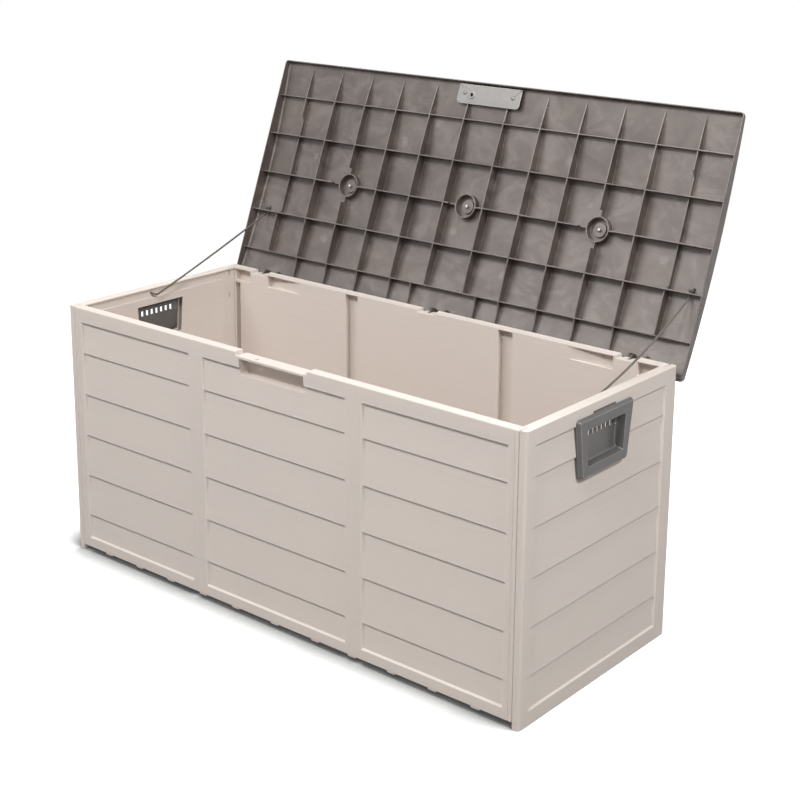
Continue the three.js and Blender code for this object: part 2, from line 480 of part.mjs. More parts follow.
// ---------------------------------------------------------------- stay cords
const lean = THREE.MathUtils.degToRad(OPEN_LEAN);
const U = new THREE.Vector3(0, Math.sin(lean), Math.cos(lean));      // up the lid
const N = new THREE.Vector3(0, -Math.cos(lean), Math.sin(lean));     // out of its rim plane
const R0 = new THREE.Vector3(0, AXIS_Y, AXIS_Z).addScaledVector(U, -AXIS_V).addScaledVector(N, -AXIS_W);
const lidPoint = (x, v, d) => R0.clone().addScaledVector(U, v).addScaledVector(N, -d).setX(x);
function fillet(pts, radii, step = 12) {
  const out = [pts[0].clone()];
  for (let i = 1; i + 1 < pts.length; i++) {
    const u = pts[i - 1].clone().sub(pts[i]).normalize(), v = pts[i + 1].clone().sub(pts[i]).normalize();
    const half = u.angleTo(v) / 2, r = radii[i - 1], t = r / Math.tan(half);
    const c = u.clone().add(v).normalize().multiplyScalar(r / Math.sin(half)).add(pts[i]);
    const a = pts[i].clone().addScaledVector(u, t).sub(c), b = pts[i].clone().addScaledVector(v, t).sub(c);
    const ang = a.angleTo(b), k = Math.max(3, Math.ceil(ang / (step * Math.PI / 180)));
    for (let j = 0; j <= k; j++) {
      const f = j / k;
      out.push(c.clone().add(a.clone().multiplyScalar(Math.sin((1 - f) * ang) / Math.sin(ang))).addScaledVector(b, Math.sin(f * ang) / Math.sin(ang)));
    }
  }
  out.push(pts.at(-1).clone());
  return out;
}
export function cordRoute(s, sag, droop) {
  const hole = lidPoint(s * CORD_X_LID, CORD_V, CORD_D);
  const end = hole.clone().addScaledVector(U, 2.6), turn = hole.clone().addScaledVector(U, -7.5);
  const [y0, z0] = CORD_BOX;
  const start = new THREE.Vector3(s * 537.4, y0, z0), mouth = new THREE.Vector3(s * 527.5, y0, z0);
  const out = new THREE.Vector3(s * 522, y0 + 6, z0 - droop);
  const pts = fillet([start, mouth, out, turn, end], [3, 4, 9]);
  // the long run between the two bends hangs in a slight curve and bows in from the end panel
  const i0 = pts.findIndex((p, i) => i && p.distanceTo(pts[i - 1]) > 100) - 1;
  const a = pts[i0], b = pts[i0 + 1], run = [];
  for (let k = 1; k < 26; k++) {
    const f = k / 26, q = a.clone().lerp(b, f);
    q.z -= 4 * sag * f * (1 - f);
    q.x = a.x + (b.x - a.x) * f ** 1.5;
    run.push(q);
  }
  pts.splice(i0 + 1, 0, ...run);
  return pts;
}
function cord(s, sag, droop) {
  const route = cordRoute(s, sag, droop);
  const path = new THREE.CatmullRomCurve3(route, false, 'centripetal');
  const section = new THREE.Shape(Array.from({ length: 8 }, (_, i) => new THREE.Vector2(CORD_R * Math.cos(i * Math.PI / 4), CORD_R * Math.sin(i * Math.PI / 4))));
  return solid(new THREE.ExtrudeGeometry(section, { steps: 46, extrudePath: path, curveSegments: 1 }));
}
function knot(r, h) {
  const p = [[0, -h / 2], [r * 0.62, -h / 2], [r, -h * 0.2], [r, h * 0.2], [r * 0.62, h / 2], [0, h / 2]];
  return solid(new THREE.LatheGeometry(p.map(([a, b]) => new THREE.Vector2(a, b)), 12));
}

// ---------------------------------------------------------------- assembly
place('front_panel', frontPanel(), COL.beige);
place('back_panel', backPanel(), COL.beige);
place('right_end_panel', endPanel(1), COL.beige);
place('left_end_panel', endPanel(-1), COL.beige);
place('floor_panel', floorPanel(), COL.beige);
place('right_handle', handle(1), COL.dark, root, 0.5);
place('left_handle', handle(-1), COL.dark, root, 0.5);
const pins = { hinge_pin_left: -459, hinge_pin_centre: 0, hinge_pin_right: 459 };
for (const [name, x] of Object.entries(pins)) {
  place(name, hingePin(), COL.steel, root, 0.4, 0.8).position.set(x, AXIS_Y, AXIS_Z);
}

const lidGroup = new THREE.Group();
lidGroup.rotation.x = Math.PI / 2 - lean;
lidGroup.position.copy(R0);
root.add(lidGroup);
place('lid', lid(), COL.lid, lidGroup, 0.42);
place('lid_pull_plate', pullPlate(), COL.plate, lidGroup, 0.5);
for (const [name, s] of [['plate_screw_left', -1], ['plate_screw_right', 1]]) {
  place(name, screw(), COL.steel, lidGroup, 0.35, 0.8).position.set(s * SCREW_X, SCREW_V, 0);
}
for (const [side, s, sag, droop] of [['left', -1, 2, 1.5], ['right', 1, 14.5, 6]]) {
  place(`${side}_stay_cord`, cord(s, sag, droop), COL.cord, root, 0.8);
  place(`knot_${side}_lid`, knot(4.6, 7), COL.cord, lidGroup, 0.8).position.set(s * CORD_X_LID, CORD_V + 2.6 + GAP + 3.5, -CORD_D);
  const k = place(`knot_${side}_box`, knot(4, 5), COL.cord, root, 0.8);
  k.rotation.z = Math.PI / 2;
  k.position.set(s * (537.4 + GAP + 2.5), ...CORD_BOX);
}

export default root;
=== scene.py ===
import json
import math
import bpy
import bmesh
from mathutils import Vector, Matrix, noise

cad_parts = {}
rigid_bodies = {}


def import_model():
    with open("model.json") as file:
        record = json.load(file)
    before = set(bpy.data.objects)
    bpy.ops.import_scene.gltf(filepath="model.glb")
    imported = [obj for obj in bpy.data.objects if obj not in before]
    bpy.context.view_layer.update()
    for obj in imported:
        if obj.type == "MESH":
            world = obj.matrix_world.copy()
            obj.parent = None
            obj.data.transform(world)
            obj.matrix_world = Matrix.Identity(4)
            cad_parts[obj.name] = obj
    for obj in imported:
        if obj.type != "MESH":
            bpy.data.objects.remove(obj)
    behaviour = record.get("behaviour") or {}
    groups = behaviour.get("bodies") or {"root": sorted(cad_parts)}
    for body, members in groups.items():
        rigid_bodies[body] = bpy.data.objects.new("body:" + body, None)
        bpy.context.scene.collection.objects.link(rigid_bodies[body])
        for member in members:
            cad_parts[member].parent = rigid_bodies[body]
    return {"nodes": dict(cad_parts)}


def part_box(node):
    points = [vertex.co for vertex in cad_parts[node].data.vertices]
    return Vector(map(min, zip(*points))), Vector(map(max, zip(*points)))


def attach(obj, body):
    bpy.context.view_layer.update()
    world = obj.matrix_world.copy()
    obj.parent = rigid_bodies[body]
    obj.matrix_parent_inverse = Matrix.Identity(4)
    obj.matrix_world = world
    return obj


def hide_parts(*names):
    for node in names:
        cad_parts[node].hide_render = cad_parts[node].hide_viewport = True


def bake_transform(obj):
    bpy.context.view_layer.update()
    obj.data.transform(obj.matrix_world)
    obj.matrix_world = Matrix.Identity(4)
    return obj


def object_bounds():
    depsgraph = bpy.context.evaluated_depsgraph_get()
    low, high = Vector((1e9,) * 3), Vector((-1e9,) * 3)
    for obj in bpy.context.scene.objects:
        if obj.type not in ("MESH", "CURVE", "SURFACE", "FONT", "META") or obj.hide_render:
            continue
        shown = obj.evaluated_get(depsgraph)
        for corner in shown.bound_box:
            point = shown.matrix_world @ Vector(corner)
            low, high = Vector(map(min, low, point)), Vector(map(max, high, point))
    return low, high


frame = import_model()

CAD_BOX = [list(v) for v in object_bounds()]
MM = 0.001
scene = bpy.context.scene
rad = math.radians

# ------------------------------------------------------------------ camera
AZ, EL, ROLL = 39.1747, 14.2644, 0.6308
DIST, TARGET = 2.80501, Vector((0.15224, 0.0, 0.66038))
FOCAL, PP_X, PP_Y = 1580.66, 420.0, 270.0


def camera():
    a, e = rad(AZ), rad(EL)
    back = Vector((math.sin(a) * math.cos(e), -math.cos(a) * math.cos(e), math.sin(e)))
    right = Vector((math.cos(a), math.sin(a), 0.0))
    up = back.cross(right)
    r = rad(ROLL)
    x = math.cos(r) * right + math.sin(r) * up
    y = -math.sin(r) * right + math.cos(r) * up
    data = bpy.data.cameras.new("camera")
    data.sensor_fit = "HORIZONTAL"
    data.sensor_width = 36.0
    data.lens = FOCAL / 800 * 36
    data.shift_x = -(PP_X - 400) / 800
    data.shift_y = -(400 - PP_Y) / 800
    data.clip_start, data.clip_end = 0.05, 100
    cam = bpy.data.objects.new("camera", data)
    scene.collection.objects.link(cam)
    cam.matrix_world = Matrix((
        (x.x, y.x, back.x, 0), (x.y, y.y, back.y, 0), (x.z, y.z, back.z, 0), (0, 0, 0, 1)))
    cam.location = TARGET + back * DIST
    scene.camera = cam


camera()

# ------------------------------------------------------------------ node helper
class Tree:
    def __init__(self, name):
        self.m = bpy.data.materials.new(name)
        self.m.use_nodes = True
        self.t = self.m.node_tree
        self.t.nodes.clear()
        self.out = self.t.nodes.new("ShaderNodeOutputMaterial")
        self.n = 0

    def add(self, kind, ins=None, **props):
        node = self.t.nodes.new("ShaderNode" + kind)
        self.n += 1
        node.location = (-200 * (self.n % 12), -160 * (self.n // 12))
        for k, v in props.items():
            setattr(node, k, v)
        for k, v in (ins or {}).items():
            sock = node.inputs[k]
            if isinstance(v, bpy.types.NodeSocket):
                self.t.links.new(v, sock)
            else:
                sock.default_value = v
        return node

    def math(self, op, a, b=None, c=None, clamp=False):
        ins = {0: a}
        if b is not None:
            ins[1] = b
        if c is not None:
            ins[2] = c
        return self.add("Math", ins, operation=op, use_clamp=clamp).outputs[0]

    def vmath(self, op, a, b=None, out=0):
        ins = {0: a}
        if b is not None:
            ins[1] = b
        return self.add("VectorMath", ins, operation=op).outputs[out]

    def ramp(self, fac, stops, interp="LINEAR"):
        node = self.add("ValToRGB", {0: fac})
        cr = node.color_ramp
        cr.interpolation = interp
        while len(cr.elements) > 1:
            cr.elements.remove(cr.elements[-1])
        first = True
        for pos, col in stops:
            if first:
                el = cr.elements[0]
                el.position = pos
                first = False
            else:
                el = cr.elements.new(pos)
            el.color = (*col, 1) if len(col) == 3 else col
        return node.outputs[0]

    def remap(self, v, a, b, c, d, smooth=False):
        return self.add("MapRange", {0: v, 1: a, 2: b, 3: c, 4: d},
                        interpolation_type="SMOOTHSTEP" if smooth else "LINEAR", clamp=True).outputs[0]

    def mix(self, fac, a, b, blend="MIX"):
        node = self.add("Mix", data_type="RGBA", blend_type=blend)
        for i, v in ((0, fac), (6, a), (7, b)):
            if isinstance(v, bpy.types.NodeSocket):
                self.t.links.new(v, node.inputs[i])
            else:
                node.inputs[i].default_value = v if i == 0 else ((*v, 1) if len(v) == 3 else v)
        return node.outputs[2]

    def surface(self, shader):
        self.t.links.new(shader, self.out.inputs[0])
        return self.m


def lin(r, g, b):
    f = lambda c: (c / 255) / 12.92 if c / 255 <= 0.04045 else ((c / 255 + 0.055) / 1.055) ** 2.4
    return (f(r), f(g), f(b))


def scaled(c, k):
    return tuple(min(1.0, x * k) for x in c)


# ------------------------------------------------------------------ materials
def beige(name, along, wear_and_highlight=False, posts=()):
    """Moulded resin with a pressed wood grain. along is the axis of the boards' grain; posts are the ranges of |that axis| where the grain runs upright."""
    t = Tree(name)
    tc = t.add("TexCoord").outputs["Object"]
    sep = t.add("SeparateXYZ", {0: tc})
    x, y, z = sep.outputs
    lng, dep = (x, y) if along == "X" else (y, x)
    absl = t.math("ABSOLUTE", lng)
    upright = None
    for lo, hi in posts:
        inside = t.math("MULTIPLY", t.math("GREATER_THAN", absl, lo), t.math("LESS_THAN", absl, hi))
        upright = inside if upright is None else t.math("MAXIMUM", upright, inside)
    if upright is None:
        a, b = lng, z
    else:
        inv = t.math("SUBTRACT", 1.0, upright)
        a = t.math("ADD", t.math("MULTIPLY", lng, inv), t.math("MULTIPLY", z, upright))
        b = t.math("ADD", t.math("MULTIPLY", z, inv), t.math("MULTIPLY", lng, upright))
    # fine pores along the grain
    pores = t.add("TexNoise", {"Vector": t.add("CombineXYZ", {0: t.math("MULTIPLY", a, 16.0), 1: t.math("MULTIPLY", dep, 60.0), 2: t.math("MULTIPLY", b, 520.0)}).outputs[0],
                               "Scale": 1.0, "Detail": 4.0, "Roughness": 0.62}).outputs[0]
    # broad figure of the grain, bent in long waves
    bend = t.add("TexNoise", {"Vector": t.add("CombineXYZ", {0: t.math("MULTIPLY", a, 3.0), 1: 0.0, 2: t.math("MULTIPLY", b, 14.0)}).outputs[0],
                              "Scale": 1.0, "Detail": 2.0, "Roughness": 0.5}).outputs[0]
    line = t.math("ADD", t.math("MULTIPLY", b, 95.0), t.math("MULTIPLY", bend, 9.0))
    figure = t.math("POWER", t.math("ABSOLUTE", t.math("SINE", t.math("MULTIPLY", line, math.pi))), 3.0)
    streak = t.add("TexNoise", {"Vector": t.add("CombineXYZ", {0: t.math("MULTIPLY", a, 5.0), 1: 3.0, 2: t.math("MULTIPLY", b, 150.0)}).outputs[0],
                                "Scale": 1.0, "Detail": 3.0, "Roughness": 0.55}).outputs[0]
    height = t.math("ADD", t.math("MULTIPLY", pores, 0.55), t.math("ADD", t.math("MULTIPLY", figure, 0.22), t.math("MULTIPLY", streak, 0.35)))
    patch = t.add("TexNoise", {"Vector": tc, "Scale": 2.6, "Detail": 3.0, "Roughness": 0.6}).outputs[0]
    base = (0.695, 0.622, 0.57)
    tone = t.ramp(t.math("ADD", t.math("MULTIPLY", height, 0.62), t.math("MULTIPLY", patch, 0.38)),
                  [(0.30, scaled(base, 0.97)), (0.5, base), (0.72, scaled(base, 1.02))])
    warm = t.mix(t.remap(patch, 0.35, 0.65, 0.0, 0.5), tone, scaled((base[0] * 1.015, base[1], base[2] * 0.965), 1.0))
    col = t.mix(0.5, tone, warm)
    # the paler second material goes on the rounded edges: painted edge highlight, with some wear
    if wear_and_highlight:
        col = t.mix(0.45, col, scaled(lin(226, 219, 211), 1.0))
    rough = t.remap(t.math("ADD", t.math("MULTIPLY", pores, 0.6), t.math("MULTIPLY", patch, 0.4)), 0.3, 0.7, 0.5, 0.64)
    bump = t.add("Bump", {"Height": height, "Strength": 0.12, "Distance": 0.0004}).outputs[0]
    p = t.add("BsdfPrincipled", {"Base Color": col, "Roughness": rough, "Normal": bump, "IOR": 1.49, "Specular IOR Level": 0.2})
    return t.surface(p.outputs[0])


LEAN = rad(20.5)
U = Vector((0, math.sin(LEAN), math.cos(LEAN)))
N = Vector((0, -math.cos(LEAN), math.sin(LEAN)))
AXIS = Vector((0, 0.22865, 0.49965))
R0 = AXIS - U * 0.01585 - N * 0.00715


def lid_resin(name, wear_and_highlight=False):
    """Brown resin of the lid: glossy inside with moulding marks, with a fine grain."""
    t = Tree(name)
    tc = t.add("TexCoord").outputs["Object"]
    rel = t.vmath("SUBTRACT", tc, tuple(R0))
    v = t.add("VectorMath", {0: rel, 1: tuple(U)}, operation="DOT_PRODUCT").outputs["Value"]
    w = t.add("VectorMath", {0: rel, 1: tuple(N)}, operation="DOT_PRODUCT").outputs["Value"]
    x = t.add("SeparateXYZ", {0: tc}).outputs[0]
    cloud = t.add("TexNoise", {"Vector": t.add("CombineXYZ", {0: x, 1: v, 2: w}).outputs[0], "Scale": 9.0, "Detail": 4.0, "Roughness": 0.62, "Distortion": 0.9}).outputs[0]
    fine = t.add("TexNoise", {"Vector": tc, "Scale": 70.0, "Detail": 3.0, "Roughness": 0.6}).outputs[0]
    grit = t.add("TexNoise", {"Vector": tc, "Scale": 900.0, "Detail": 2.0, "Roughness": 0.5}).outputs[0]
    base = (0.044, 0.032, 0.025)
    tone = t.ramp(t.math("ADD", t.math("MULTIPLY", cloud, 0.75), t.math("MULTIPLY", fine, 0.25)),
                  [(0.34, scaled(base, 0.7)), (0.5, base), (0.64, (base[0] * 1.4, base[1] * 1.36, base[2] * 1.42))])
    haze = t.add("TexNoise", {"Vector": t.add("CombineXYZ", {0: t.math("MULTIPLY", x, 0.8), 1: v, 2: t.math("ADD", w, 3.7)}).outputs[0], "Scale": 15.0, "Detail": 5.0, "Roughness": 0.66, "Distortion": 1.4}).outputs[0]
    # the smooth outside is much more even than the underside
    inner = t.remap(t.add("VectorMath", {0: t.add("TexCoord").outputs["Normal"], 1: tuple(N)}, operation="DOT_PRODUCT").outputs["Value"], -0.6, -0.1, 0.22, 1.0)
    tone = t.mix(t.math("MULTIPLY", inner, t.remap(haze, 0.46, 0.66, 0.0, 0.085, smooth=True)), t.mix(inner, base, tone), lin(170, 160, 158))
    # pale marks at listed places, mostly on the inside
    marks = None
    for mx, mv, r in ((43, 292, 13), (-25, 188, 11), (214, 360, 14), (392, 393, 12), (280, 283, 10), (-197, 352, 11), (-430, 290, 9), (120, 120, 9), (-350, 120, 10), (455, 210, 10), (-120, 395, 10)):
        d = t.add("VectorMath", {0: t.add("CombineXYZ", {0: x, 1: v, 2: 0.0}).outputs[0], 1: (mx * MM, mv * MM, 0.0)}, operation="DISTANCE").outputs["Value"]
        d = t.math("ADD", d, t.math("MULTIPLY", t.math("SUBTRACT", t.math("ADD", t.math("MULTIPLY", fine, 0.5), t.math("MULTIPLY", haze, 0.5)), 0.5), 0.05))
        k = t.remap(d, r * 0.25 * MM, r * 1.25 * MM, 1.0, 0.0, smooth=True)
        marks = k if marks is None else t.math("MAXIMUM", marks, k)
    tone = t.mix(t.math("MULTIPLY", t.math("MULTIPLY", marks, inner), 0.13), tone, lin(200, 192, 186))
    # paler rounded edges: painted edge highlight, with some wear
    if wear_and_highlight:
        tone = t.mix(0.12, tone, lin(160, 150, 143))
    rough = t.remap(t.math("ADD", t.math("MULTIPLY", cloud, 0.7), t.math("MULTIPLY", fine, 0.3)), 0.34, 0.66, 0.40, 0.54)
    even_out = lambda val, mean: t.math("ADD", mean, t.math("MULTIPLY", t.math("SUBTRACT", val, mean), inner))
    rough = even_out(rough, 0.48)
    height = t.math("ADD", t.math("MULTIPLY", t.math("MULTIPLY", cloud, inner), 1.2), t.math("ADD", t.math("MULTIPLY", fine, 0.22), t.math("MULTIPLY", grit, 0.02)))
    bump = t.add("Bump", {"Height": height, "Strength": 0.5, "Distance": 0.0012}).outputs[0]
    p = t.add("BsdfPrincipled", {"Base Color": tone, "Roughness": rough, "Normal": bump, "IOR": 1.7, "Specular Tint": (1.0, 0.93, 0.90, 1.0),
                                "Specular IOR Level": even_out(t.remap(t.math("ADD", t.math("MULTIPLY", cloud, 0.5), t.math("MULTIPLY", haze, 0.5)), 0.38, 0.6, 0.78, 1.0), 0.85)})
    return t.surface(p.outputs[0])


def plain_resin(name, colour, rough=(0.38, 0.5), wear_and_highlight=None, scale=1.0, gloss=0.45):
    t = Tree(name)
    tc = t.add("TexCoord").outputs["Object"]
    cloud = t.add("TexNoise", {"Vector": tc, "Scale": 22.0 * scale, "Detail": 4.0, "Roughness": 0.6}).outputs[0]
    grit = t.add("TexNoise", {"Vector": tc, "Scale": 1500.0, "Detail": 2.0, "Roughness": 0.5}).outputs[0]
    cell = t.add("TexVoronoi", {"Vector": tc, "Scale": 1100.0}).outputs["Distance"]
    tone = t.ramp(t.math("ADD", t.math("MULTIPLY", cloud, 0.7), t.math("MULTIPLY", grit, 0.3)),
                  [(0.3, scaled(colour, 0.86)), (0.5, colour), (0.72, scaled(colour, 1.14))])
    # paler rounded edges: painted edge highlight, with some wear
    if wear_and_highlight:
        tone = t.mix(0.5, tone, wear_and_highlight)
    r = t.remap(t.math("ADD", t.math("MULTIPLY", cloud, 0.6), t.math("MULTIPLY", grit, 0.4)), 0.3, 0.7, rough[0], rough[1])
    bump = t.add("Bump", {"Height": t.math("ADD", t.math("MULTIPLY", cell, 0.5), grit), "Strength": 0.18, "Distance": 0.0002}).outputs[0]
    p = t.add("BsdfPrincipled", {"Base Color": tone, "Roughness": r, "Normal": bump, "IOR": 1.49, "Specular IOR Level": gloss})
    return t.surface(p.outputs[0])


def metal(name, tones=((150, 147, 142), (184, 182, 178), (200, 198, 194)), rough=(0.26, 0.42)):
    t = Tree(name)
    tc = t.add("TexCoord").outputs["Object"]
    scratch = t.add("TexNoise", {"Vector": t.vmath("MULTIPLY", tc, (300.0, 2500.0, 2500.0)), "Scale": 1.0, "Detail": 3.0, "Roughness": 0.6}).outputs[0]
    cloud = t.add("TexNoise", {"Vector": tc, "Scale": 160.0, "Detail": 3.0, "Roughness": 0.6}).outputs[0]
    tone = t.ramp(cloud, [(0.3, lin(*tones[0])), (0.55, lin(*tones[1])), (0.75, lin(*tones[2]))])
    rough = t.remap(scratch, 0.3, 0.7, *rough)
    bump = t.add("Bump", {"Height": scratch, "Strength": 0.15, "Distance": 0.0001}).outputs[0]
    p = t.add("BsdfPrincipled", {"Base Color": tone, "Roughness": rough, "Metallic": 1.0, "Normal": bump})
    return t.surface(p.outputs[0])


def cord_fibre(name):
    """Braided polyester cord. UV u runs round it and v along it, in cord diameters; relief is 0 between strands and 1 on them."""
    t = Tree(name)
    tc = t.add("TexCoord").outputs["UV"]
    relief = t.add("Attribute", attribute_name="relief").outputs["Fac"]
    fuzz = t.add("TexNoise", {"Vector": t.vmath("MULTIPLY", tc, (26.0, 9.0, 1.0)), "Scale": 1.0, "Detail": 4.0, "Roughness": 0.65}).outputs[0]
    cloud = t.add("TexNoise", {"Vector": t.vmath("MULTIPLY", tc, (1.0, 0.25, 1.0)), "Scale": 1.0, "Detail": 3.0, "Roughness": 0.6}).outputs[0]
    # lighter on the backs of the strands and darker in the gaps between them: painted highlight and painted shade of
    # the braid
    fac = t.math("ADD", t.math("MULTIPLY", relief, 0.5), t.math("ADD", t.math("MULTIPLY", fuzz, 0.35), t.math("MULTIPLY", cloud, 0.15)))
    tone = t.ramp(fac, [(0.3, (0.05, 0.045, 0.038)), (0.6, (0.112, 0.102, 0.088)), (0.85, (0.18, 0.165, 0.142))])
    bump = t.add("Bump", {"Height": fuzz, "Strength": 0.4, "Distance": 0.00015}).outputs[0]
    p = t.add("BsdfPrincipled", {"Base Color": tone, "Roughness": 0.78, "Normal": bump, "Sheen Weight": 0.2, "Sheen Roughness": 0.4})
    return t.surface(p.outputs[0])


POSTS_X = ((0.174, 0.213), (0.516, 0.60))
POSTS_Y = ((0.194, 0.30),)
# the second material of each pair is paler and goes on the rounded edges: painted edge highlight, with some wear
M = {
    "beige_x": beige("beige_resin_long", "X", posts=POSTS_X),
    "beige_x_worn": beige("beige_resin_long_edge_wear_and_highlight", "X", wear_and_highlight=True, posts=POSTS_X),
    "beige_y": beige("beige_resin_end", "Y", posts=POSTS_Y),
    "beige_y_worn": beige("beige_resin_end_edge_wear_and_highlight", "Y", wear_and_highlight=True, posts=POSTS_Y),
    "lid": lid_resin("brown_resin"),
    "lid_worn": lid_resin("brown_resin_edge_wear_and_highlight", wear_and_highlight=True),
    "dark": plain_resin("dark_resin", (0.105, 0.101, 0.098), rough=(0.33, 0.44), gloss=0.7),
    "dark_worn": plain_resin("dark_resin_edge_wear_and_highlight", (0.105, 0.101, 0.098), rough=(0.28, 0.38), wear_and_highlight=lin(188, 184, 180), gloss=0.9),
    "plate": plain_resin("grey_resin", (0.302, 0.288, 0.277), rough=(0.42, 0.55)),
    "plate_worn": plain_resin("grey_resin_edge_wear_and_highlight", (0.325, 0.312, 0.302), rough=(0.42, 0.55), wear_and_highlight=lin(206, 203, 198)),
    "metal": metal("plain_steel"),
    "dull": metal("dulled_steel", ((104, 102, 98), (128, 126, 122), (142, 140, 136)), (0.42, 0.58)),
    # pale, glossy dome in the middle of each ring boss; its pale colour partly stands for the bright dot of its
    # highlight: painted highlight
    "nub": plain_resin("trimmed_sprue_painted_highlight", (0.46, 0.43, 0.40), rough=(0.18, 0.3), gloss=1.0, scale=4.0),
    "cord": cord_fibre("cord_fibre"),
}


# ------------------------------------------------------------------ mesh helpers
def link(name, me, body, mats):
    ob = bpy.data.objects.new(name, me)
    scene.collection.objects.link(ob)
    for m in mats:
        me.materials.append(m)
    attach(ob, body)
    return ob


def baked(ob):
    """The object's mesh with its modifiers applied, in place."""
    dg = bpy.context.evaluated_depsgraph_get()
    dg.update()
    me = bpy.data.meshes.new_from_object(ob.evaluated_get(dg), preserve_all_data_layers=True, depsgraph=dg)
    old = ob.data
    ob.modifiers.clear()
    ob.data = me
    bpy.data.meshes.remove(old)
    return ob


def edge_weights(bm, width, angle, share=0.42):
    """Bevel weights: every sharp edge gets the full width where its faces have room, and less where they haven't."""
    lay = bm.edges.layers.float.new("bevel_weight_edge")
    sharp = {e for e in bm.edges if len(e.link_faces) == 2 and e.calc_face_angle(0) > angle}
    room = {e: 1e9 for e in sharp}
    for f in bm.faces:
        loops = list(f.loops)
        if not any(l.edge in sharp for l in loops):
            continue
        u = (loops[0].link_loop_next.vert.co - loops[0].vert.co).normalized()
        v = f.normal.cross(u)
        flat = [(l.vert.co.dot(u), l.vert.co.dot(v)) for l in loops]
        m = len(flat)
        for i, l in enumerate(loops):
            if l.edge not in sharp:
                continue
            a, b = flat[i], flat[(i + 1) % m]
            dx, dy = b[0] - a[0], b[1] - a[1]
            length = math.hypot(dx, dy)
            if length < 1e-9:
                room[l.edge] = 0
                continue
            dx, dy = dx / length, dy / length
            nx, ny = -dy, dx
            # a narrow corner of the face leaves less room than its sides are long
            for p, q, s in ((flat[i - 1], a, 1), (flat[(i + 2) % m], b, -1)):
                ex, ey = p[0] - q[0], p[1] - q[1]
                k = math.hypot(ex, ey)
                if k < 1e-9:
                    room[l.edge] = 0
                    continue
                ex, ey = ex / k, ey / k
                if ex * nx + ey * ny > 0:
                    turn = math.acos(max(-1.0, min(1.0, s * (ex * dx + ey * dy))))
                    room[l.edge] = min(room[l.edge], min(length, k) * math.tan(turn / 2))
            # the distance across the face to the next sharp edge
            for t in (0.03, 0.25, 0.5, 0.75, 0.97):
                ox, oy = a[0] + dx * length * t, a[1] + dy * length * t
                best = 1e9
                for k in range(m):
                    if k == i or loops[k].edge not in sharp:
                        continue
                    c0, c1 = flat[k], flat[(k + 1) % m]
                    wx, wy = c1[0] - c0[0], c1[1] - c0[1]
                    den = nx * wy - ny * wx
                    if abs(den) < 1e-12:
                        continue
                    rx, ry = c0[0] - ox, c0[1] - oy
                    d, r = (rx * wy - ry * wx) / den, (rx * ny - ry * nx) / den
                    if 1e-7 < d < best and -0.02 <= r <= 1.02:
                        best = d
                if best < 1e8 and (0.1 < t < 0.9 or best > length * 0.2):
                    room[l.edge] = min(room[l.edge], best)
    for e in sharp:
        e[lay] = max(0.0, min(1.0, share * room[e] / width))


def refined(node, body, mats, width=0.0007, segments=2, angle=28, planar=0.2, profile=0.5):
    """A finished skin of a carried-over solid: the same faces with every sharp edge rounded."""
    src = frame["nodes"][node]
    bm = bmesh.new()
    bm.from_mesh(src.data)
    bmesh.ops.remove_doubles(bm, verts=bm.verts[:], dist=1.5e-5)
    bmesh.ops.dissolve_degenerate(bm, dist=1e-6, edges=bm.edges[:])
    bmesh.ops.dissolve_limit(bm, angle_limit=rad(planar), use_dissolve_boundaries=False, verts=bm.verts[:], edges=bm.edges[:], delimit=set())
    edge_weights(bm, width, rad(angle))
    bmesh.ops.triangulate(bm, faces=[f for f in bm.faces if len(f.verts) > 4], quad_method="BEAUTY", ngon_method="BEAUTY")
    me = bpy.data.meshes.new(node + ".skin")
    bm.to_mesh(me)
    bm.free()
    for p in me.polygons:
        p.use_smooth = True
    ob = link(node + ".skin", me, body, mats)
    b = ob.modifiers.new("edges", "BEVEL")
    b.limit_method = "WEIGHT"
    b.width, b.segments, b.profile = width, segments, profile
    b.use_clamp_overlap = False
    b.harden_normals = False
    # the bevel faces take the second material, whose paler colour is a painted edge highlight with some wear
    b.material = 1 if len(mats) > 1 else -1
    b.miter_outer = "MITER_SHARP"
    w = ob.modifiers.new("normals", "WEIGHTED_NORMAL")
    w.keep_sharp, w.weight, w.thresh = True, 80, 0.01
    baked(ob)
    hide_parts(node)
    return ob


